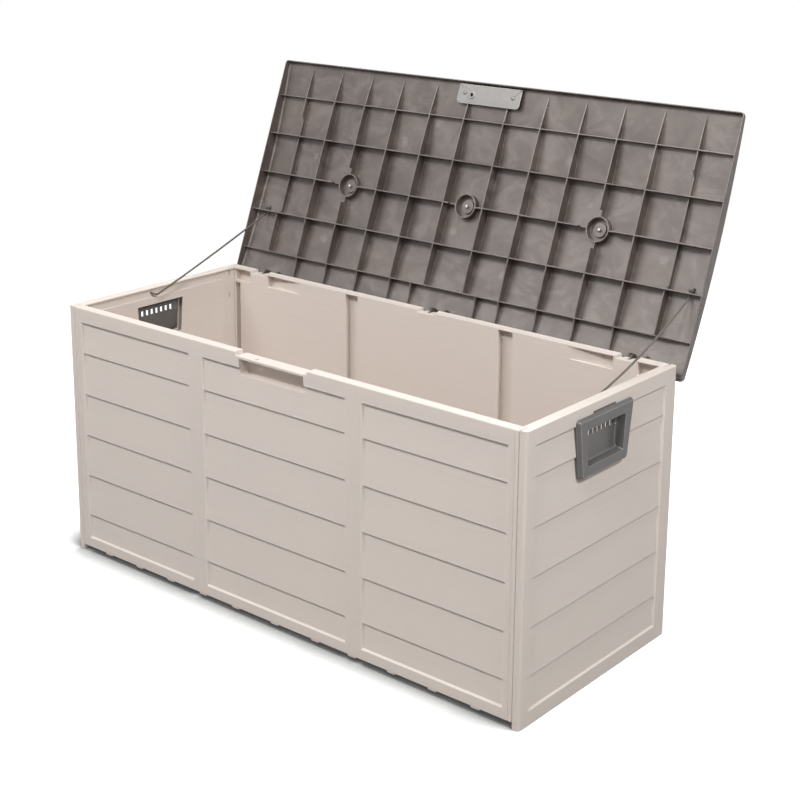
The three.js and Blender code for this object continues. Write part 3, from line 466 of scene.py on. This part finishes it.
# ------------------------------------------------------------------ cords
# the routes of the two stay cords, in millimetres, from the end panel to the lid
CORDS = {
    "left": [
        (-537.4, -30, 501), (-528.85, -30, 501), (-528.34, -29.96, 500.99), (-527.85, -29.84, 500.96), (-527.39, -29.63, 500.91),
        (-526.97, -29.36, 500.84), (-526.61, -29.02, 500.76), (-523.31, -25.43, 499.86), (-522.86, -24.86, 499.76), (-522.5, -24.22, 499.75),
        (-522.23, -23.54, 499.81), (-522.08, -22.85, 499.95), (-522.03, -22.15, 500.17), (-522.07, -10, 504.25), (-522.15, 2.16, 508.36),
        (-522.24, 14.31, 512.49), (-522.36, 26.46, 516.64), (-522.49, 38.61, 520.82), (-522.63, 50.76, 525.02), (-522.79, 62.92, 529.25),
        (-522.95, 75.07, 533.5), (-523.13, 87.22, 537.77), (-523.32, 99.37, 542.07), (-523.52, 111.53, 546.39), (-523.73, 123.68, 550.73),
        (-523.94, 135.83, 555.1), (-524.17, 147.98, 559.49), (-524.4, 160.13, 563.9), (-524.64, 172.29, 568.34), (-524.89, 184.44, 572.81),
        (-525.14, 196.59, 577.29), (-525.41, 208.74, 581.8), (-525.68, 220.89, 586.33), (-525.95, 233.05, 590.89), (-526.24, 245.2, 595.47),
        (-526.53, 257.35, 600.08), (-526.82, 269.5, 604.7), (-527.12, 281.65, 609.35), (-527.43, 293.81, 614.03), (-527.46, 295.22, 614.68),
        (-527.47, 296.5, 615.57), (-527.49, 297.61, 616.67), (-527.5, 298.51, 617.94), (-527.5, 299.18, 619.35), (-527.5, 301.26, 624.9),
    ],
    "right": [
        (537.4, -30, 501), (529.13, -30, 501), (528.54, -29.96, 500.96), (527.97, -29.83, 500.83), (527.44, -29.63, 500.63),
        (526.99, -29.36, 500.36), (526.61, -29.03, 500.03), (523.53, -25.67, 496.67), (523.11, -25.12, 496.24), (522.73, -24.47, 495.92),
        (522.43, -23.73, 495.73), (522.21, -22.95, 495.68), (522.08, -22.15, 495.76), (522.04, -21.37, 495.99), (522.09, -9.24, 498.38),
        (522.16, 2.88, 500.95), (522.26, 15.01, 503.68), (522.37, 27.13, 506.59), (522.5, 39.26, 509.67), (522.64, 51.38, 512.92),
        (522.8, 63.51, 516.35), (522.96, 75.63, 519.94), (523.14, 87.76, 523.71), (523.33, 99.88, 527.65), (523.53, 112.01, 531.76),
        (523.73, 124.13, 536.04), (523.95, 136.26, 540.5), (524.17, 148.38, 545.12), (524.41, 160.51, 549.92), (524.65, 172.63, 554.88),
        (524.89, 184.76, 560.02), (525.15, 196.89, 565.34), (525.41, 209.01, 570.82), (525.68, 221.14, 576.47), (525.96, 233.26, 582.3),
        (526.24, 245.39, 588.3), (526.53, 257.51, 594.47), (526.82, 269.64, 600.81), (527.13, 281.76, 607.32), (527.43, 293.89, 614),
        (527.46, 295.27, 614.66), (527.48, 296.53, 615.55), (527.49, 297.62, 616.64), (527.5, 298.5, 617.89), (527.5, 299.16, 619.28),
        (527.5, 301.26, 624.9),
    ],
}
CORD_R = 0.002


def even(points, step):
    """The same line with points an even step apart, smoothed between the given ones."""
    dense = [points[0]]
    for i in range(len(points) - 1):
        p1, p2 = points[i], points[i + 1]
        p0 = points[i - 1] if i else p1 + (p1 - p2)
        p3 = points[i + 2] if i + 2 < len(points) else p2 + (p2 - p1)
        t = [0.0]
        for a, b in ((p0, p1), (p1, p2), (p2, p3)):
            t.append(t[-1] + max(1e-6, (b - a).length) ** 0.5)
        n = max(2, int((p2 - p1).length / step * 2))
        for k in range(1, n + 1):
            u = t[1] + (t[2] - t[1]) * k / n
            a1 = p0.lerp(p1, (u - t[0]) / (t[1] - t[0]))
            a2 = p1.lerp(p2, (u - t[1]) / (t[2] - t[1]))
            a3 = p2.lerp(p3, (u - t[2]) / (t[3] - t[2]))
            b1 = a1.lerp(a2, (u - t[0]) / (t[2] - t[0]))
            b2 = a2.lerp(a3, (u - t[1]) / (t[3] - t[1]))
            dense.append(b1.lerp(b2, (u - t[1]) / (t[2] - t[1])))
    total = sum((b - a).length for a, b in zip(dense, dense[1:]))
    count = max(4, round(total / step))
    out, walked, j = [dense[0]], 0.0, 0
    for k in range(1, count):
        goal = total * k / count
        while walked + (dense[j + 1] - dense[j]).length < goal:
            walked += (dense[j + 1] - dense[j]).length
            j += 1
        out.append(dense[j].lerp(dense[j + 1], (goal - walked) / (dense[j + 1] - dense[j]).length))
    out.append(dense[-1])
    return out


def braid(theta, s, radius, carriers=6, pitch=7.0):
    """Relief of a braided sleeve at an angle round the cord and a distance along it: 0 in a gap, 1 on the back of a strand."""
    turn = theta / (2 * math.pi) * carriers
    run = s / (2 * radius) / pitch * carriers * 2
    a, b = turn + run, turn - run
    over = (math.floor(a) + math.floor(b)) % 2 == 0
    ha = max(0.0, math.sin(math.pi * (a - math.floor(a)))) ** 0.7
    hb = max(0.0, math.sin(math.pi * (b - math.floor(b)))) ** 0.7
    return max(ha, hb * 0.6) if over else max(hb, ha * 0.6)


def tube(bm, line, radius, sides=24, relief=0.13, ends=(1.0, 1.0)):
    """Adds a braided tube along a line of points. ends are the shares of the radius at the two end caps."""
    uv = bm.loops.layers.uv.verify()
    lay = bm.verts.layers.float.get("relief") or bm.verts.layers.float.new("relief")
    n = len(line)
    tangents = [(line[min(n - 1, i + 1)] - line[max(0, i - 1)]).normalized() for i in range(n)]
    axis = tangents[0].orthogonal().normalized()
    rings, s = [], 0.0
    for i, (p, t) in enumerate(zip(line, tangents)):
        if i:
            s += (p - line[i - 1]).length
            axis = (axis - t * axis.dot(t)).normalized()
        other = t.cross(axis)
        ring = []
        for k in range(sides):
            th = 2 * math.pi * k / sides
            h = braid(th, s, radius)
            r = radius * (1 - relief * (1 - h))
            v = bm.verts.new(p + (axis * math.cos(th) + other * math.sin(th)) * r)
            v[lay] = h
            ring.append(v)
        rings.append((ring, s))
    for (r0, s0), (r1, s1) in zip(rings, rings[1:]):
        for k in range(sides):
            q = (k + 1) % sides
            f = bm.faces.new((r0[k], r0[q], r1[q], r1[k]))
            f.smooth = True
            for loop, (u, v) in zip(f.loops, ((k, s0), (k + 1, s0), (k + 1, s1), (k, s1))):
                loop[uv].uv = (u / sides, v / (2 * radius))
    for (ring, _), t, end, flip in ((rings[0], -tangents[0], ends[0], True), (rings[-1], tangents[-1], ends[1], False)):
        mid = sum((v.co for v in ring), Vector()) / sides
        inner = []
        for v in ring:
            w = bm.verts.new(mid + (v.co - mid) * 0.62 * end + t * radius * 0.28)
            w[lay] = 0.5
            inner.append(w)
        tip = bm.verts.new(mid + t * radius * 0.36)
        tip[lay] = 0.3
        for k in range(sides):
            q = (k + 1) % sides
            quad = (ring[k], inner[k], inner[q], ring[q]) if flip else (ring[k], ring[q], inner[q], inner[k])
            bm.faces.new(quad).smooth = True
            bm.faces.new((inner[k], tip, inner[q]) if flip else (inner[k], inner[q], tip)).smooth = True
    return bm


def stay_cord(side):
    node = side + "_stay_cord"
    route = [Vector(p) * MM for p in CORDS[side]]
    line = even(route, 0.0005)
    bm = bmesh.new()
    tube(bm, line, CORD_R)
    me = bpy.data.meshes.new(node + ".braid")
    bm.to_mesh(me)
    bm.free()
    me.materials.append(M["cord"])
    ob = bpy.data.objects.new(node + ".braid", me)
    scene.collection.objects.link(ob)
    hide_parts(node)
    length = sum((b - a).length for a, b in zip(line, line[1:]))
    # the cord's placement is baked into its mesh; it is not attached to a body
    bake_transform(ob)
    return ob, line, length


def stopper_knot(node, body, centre, axis, side):
    """A tight overhand knot with a short sealed tail, round the cord's own line."""
    axis = Vector(axis).normalized()
    x = axis.orthogonal().normalized()
    y = axis.cross(x)
    centre = Vector(centre)
    n = 150
    loop = []
    for k in range(n + 1):
        t = 2 * math.pi * (k / n) * 0.93 + 0.22
        r = 0.00235 + 0.00115 * math.cos(1.5 * t * 2)
        loop.append(centre + x * r * math.cos(2 * t) + y * r * math.sin(2 * t) + axis * 0.00165 * math.sin(3 * t))
    tail = [loop[-1] + (loop[-1] - loop[-2]).normalized() * 0.0006 * i + axis * side * 0.00007 * i * i for i in range(1, 9)]
    bm = bmesh.new()
    tube(bm, even(loop + tail, 0.0003), 0.00155, sides=20, relief=0.12, ends=(0.9, 0.8))
    me = bpy.data.meshes.new(node + ".tied")
    bm.to_mesh(me)
    bm.free()
    ob = link(node + ".tied", me, body, [M["cord"]])
    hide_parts(node)
    return ob


# ------------------------------------------------------------------ pieces
PANELS = (("front_panel", "beige_x"), ("back_panel", "beige_x"), ("right_end_panel", "beige_y"), ("left_end_panel", "beige_y"), ("floor_panel", "beige_x"))
for node, m in PANELS:
    refined(node, "box", [M[m], M[m + "_worn"]], width=0.0004 if node == "floor_panel" else 0.0007)
for node in ("right_handle", "left_handle"):
    refined(node, "box", [M["dark"], M["dark_worn"]], width=0.0004)
refined("lid", "lid", [M["lid"], M["lid_worn"]], width=0.0005)
refined("lid_pull_plate", "lid", [M["plate"], M["plate_worn"]], width=0.001)
for node in ("plate_screw_left", "plate_screw_right"):
    refined(node, "lid", [M["dull"]], width=0.0005)
for node in ("hinge_pin_left", "hinge_pin_centre", "hinge_pin_right"):
    refined(node, "box", [M["metal"]], width=0.0003)


def hook_tab(name, s):
    """The handle's hook that shows in the slot above it: a flat tongue with a rounded nose and clipped ends."""
    nose = [(-6.0, -0.83), (-0.35, -0.86), (0.04, -1.25), (0.26, -1.27), (0.29, -1.1), (0.29, 0.3), (0.2, 0.6), (-0.1, 0.8), (-0.6, 0.86), (-6.0, 0.83)]
    ends = [(-39.6, 0.45), (-39.2, 0.8), (-38.2, 1.0), (-37.0, 1.0), (-6.4, 1.0), (-5.8, 0.9), (-5.2, 1.0), (25.0, 1.0), (26.2, 1.0), (27.2, 0.8), (27.6, 0.45)]
    bm = bmesh.new()
    rings = []
    for y, k in ends:
        rings.append([bm.verts.new(((s * (552.0 + px * (0.6 + 0.4 * k))) * MM, y * MM, (496.45 + pz * k) * MM)) for px, pz in nose])
    for a, b in zip(rings, rings[1:]):
        for i in range(len(nose)):
            j = (i + 1) % len(nose)
            bm.faces.new((a[i], a[j], b[j], b[i]))
    bm.faces.new(rings[0][::-1])
    bm.faces.new(rings[-1])
    bmesh.ops.recalc_face_normals(bm, faces=bm.faces[:])
    for f in bm.faces:
        f.smooth = len(f.verts) == 4
    me = bpy.data.meshes.new(name)
    bm.to_mesh(me)
    bm.free()
    return link(name, me, "box", [M["dark"]])


def sprue_nub(name, x):
    """The trimmed gate on the pin in the middle of a ring boss: a small uneven dome."""
    bm = bmesh.new()
    profile = [(3.3, -17.7), (3.45, -17.2), (3.2, -16.7), (2.5, -16.2), (1.6, -15.85), (0.8, -15.7)]
    n = 20
    at = lambda r, w, a: R0 + Vector((x * MM, 0, 0)) + Vector((1, 0, 0)) * (r * math.cos(a) * MM) + U * ((241 + r * math.sin(a)) * MM) + N * (w * MM)
    rings = [[bm.verts.new(at(r * (1 + 0.05 * math.sin(3 * i / n * 2 * math.pi + r)), w, i / n * 2 * math.pi)) for i in range(n)] for r, w in profile]
    for a, b in zip(rings, rings[1:]):
        for i in range(n):
            j = (i + 1) % n
            bm.faces.new((a[i], a[j], b[j], b[i]))
    bm.faces.new(rings[0][::-1])
    top = bm.verts.new(at(0, -15.65, 0))
    for i in range(n):
        bm.faces.new((rings[-1][i], rings[-1][(i + 1) % n], top))
    bmesh.ops.recalc_face_normals(bm, faces=bm.faces[:])
    for f in bm.faces:
        f.smooth = len(f.verts) < 5
    me = bpy.data.meshes.new(name)
    bm.to_mesh(me)
    bm.free()
    # pale colour of the dome: partly a painted highlight on the pin
    return link(name, me, "lid", [M["nub"]])


hook_tab("handle_hook_right", 1)
hook_tab("handle_hook_left", -1)
for name, x in (("sprue_nub_left", -311), ("sprue_nub_centre", 0), ("sprue_nub_right", 311)):
    sprue_nub(name, x)


def middle(node):
    lo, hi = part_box(node)
    return (Vector(lo) + Vector(hi)) / 2


for side, s in (("left", -1), ("right", 1)):
    cord_ob, cord_line, cord_length = stay_cord(side)
    box_knot = stopper_knot(f"knot_{side}_box", "box", middle(f"knot_{side}_box"), (s, 0, 0), 1)
    lid_knot = stopper_knot(f"knot_{side}_lid", "lid", middle(f"knot_{side}_lid"), U, 1)


# ------------------------------------------------------------------ stage and light
def stage():
    me = bpy.data.meshes.new("floor")
    bm = bmesh.new()
    bmesh.ops.create_circle(bm, cap_ends=True, segments=96, radius=14)
    bm.to_mesh(me)
    bm.free()
    floor = bpy.data.objects.new("floor", me)
    floor.location = (0, 0, -0.0002)
    scene.collection.objects.link(floor)
    t = Tree("pale_floor")
    tc = t.add("TexCoord").outputs["Object"]
    far = t.remap(t.vmath("LENGTH", tc, out=1), 1.2, 3.2, 0.0, 1.0, smooth=True)
    seen = t.add("LightPath").outputs["Is Camera Ray"]
    # contact shadow close to the foot of the box, softer on the side the light comes from
    open_sky = t.add("AmbientOcclusion", {"Distance": 0.12, "Normal": t.add("CombineXYZ", {0: 0.6, 1: 0.0, 2: 0.8}).outputs[0]}, samples=8).outputs["AO"]
    shade = t.remap(open_sky, 0.48, 0.94, 0.085, 1.0)
    d = t.add("BsdfDiffuse", {"Color": t.mix(shade, (0, 0, 0), (0.9, 0.9, 0.9))}).outputs[0]
    lift = t.add("Emission", {"Color": (1, 1, 1, 1), "Strength": t.math("MULTIPLY", shade, FLOOR_LIFT)}).outputs[0]
    near = t.add("AddShader", {0: d, 1: lift}).outputs[0]
    white = t.add("Emission", {"Color": (1, 1, 1, 1), "Strength": 1.0}).outputs[0]
    camera_side = t.add("MixShader", {0: far, 1: near, 2: white}).outputs[0]
    glossy = t.add("LightPath").outputs["Is Glossy Ray"]
    bounce = t.add("BsdfDiffuse", {"Color": (FLOOR_BOUNCE, FLOOR_BOUNCE, FLOOR_BOUNCE, 1)}).outputs[0]
    mirrored = t.add("Emission", {"Color": (1, 1, 1, 1), "Strength": GLOSSY}).outputs[0]
    bounced = t.add("MixShader", {0: glossy, 1: bounce, 2: mirrored}).outputs[0]
    mixed = t.add("MixShader", {0: seen, 1: bounced, 2: camera_side}).outputs[0]
    me.materials.append(t.surface(mixed))
    world = bpy.data.worlds.new("studio")
    scene.world = world
    world.use_nodes = True
    nt = world.node_tree
    bg = nt.nodes["Background"]
    bg.inputs[0].default_value = (1, 1, 1, 1)
    lp = nt.nodes.new("ShaderNodeLightPath")
    glossy = nt.nodes.new("ShaderNodeMapRange")
    glossy.inputs[3].default_value, glossy.inputs[4].default_value = WORLD, GLOSSY
    nt.links.new(lp.outputs["Is Glossy Ray"], glossy.inputs[0])
    mr = nt.nodes.new("ShaderNodeMapRange")
    mr.inputs[4].default_value = 1.0
    nt.links.new(glossy.outputs[0], mr.inputs[3])
    nt.links.new(lp.outputs["Is Camera Ray"], mr.inputs[0])
    nt.links.new(mr.outputs[0], bg.inputs[1])


def area(name, direction, distance, aim, size, power, colour=(1, 1, 1)):
    data = bpy.data.lights.new(name, "AREA")
    data.shape = "RECTANGLE"
    data.size, data.size_y = size
    data.energy, data.color = power, colour
    ob = bpy.data.objects.new(name, data)
    d = Vector(direction).normalized()
    ob.location = Vector(aim) + d * distance
    ob.rotation_mode = "QUATERNION"
    ob.rotation_quaternion = (-d).to_track_quat("-Z", "Y")
    ob.visible_camera = False
    scene.collection.objects.link(ob)
    return ob


FLOOR_LIFT, FLOOR_BOUNCE, WORLD, GLOSSY = 0.65, 0.35, 0.2, 0.9
stage()
area("key", (0.24, -0.60, 0.76), 3.5, (0.0, 0.0, 0.4), (0.4, 0.4), 53)
area("lid_softbox", (-0.40, -0.66, 0.70), 3.5, (0.0, 0.32, 0.73), (2.2, 1.2), 62)
area("side_softbox", (0.64, -0.10, 0.76), 3.0, (0.55, 0.0, 0.3), (0.5, 0.5), 56)
area("back_fill", (-0.30, 0.70, 0.62), 4.0, (0.0, 0.0, 0.4), (0.9, 0.7), 60)
scene.view_settings.view_transform = "Standard"
scene.view_settings.look = "None"

# the rounded edges of the pieces are pulled back to the least y of the imported model's box
low = CAD_BOX[0][1]
for ob in bpy.data.objects:
    if ob.type == "MESH" and ob.name != "floor" and ob.matrix_world.is_identity:
        for v in ob.data.vertices:
            if v.co.y < low - 1e-6:
                v.co.y = low
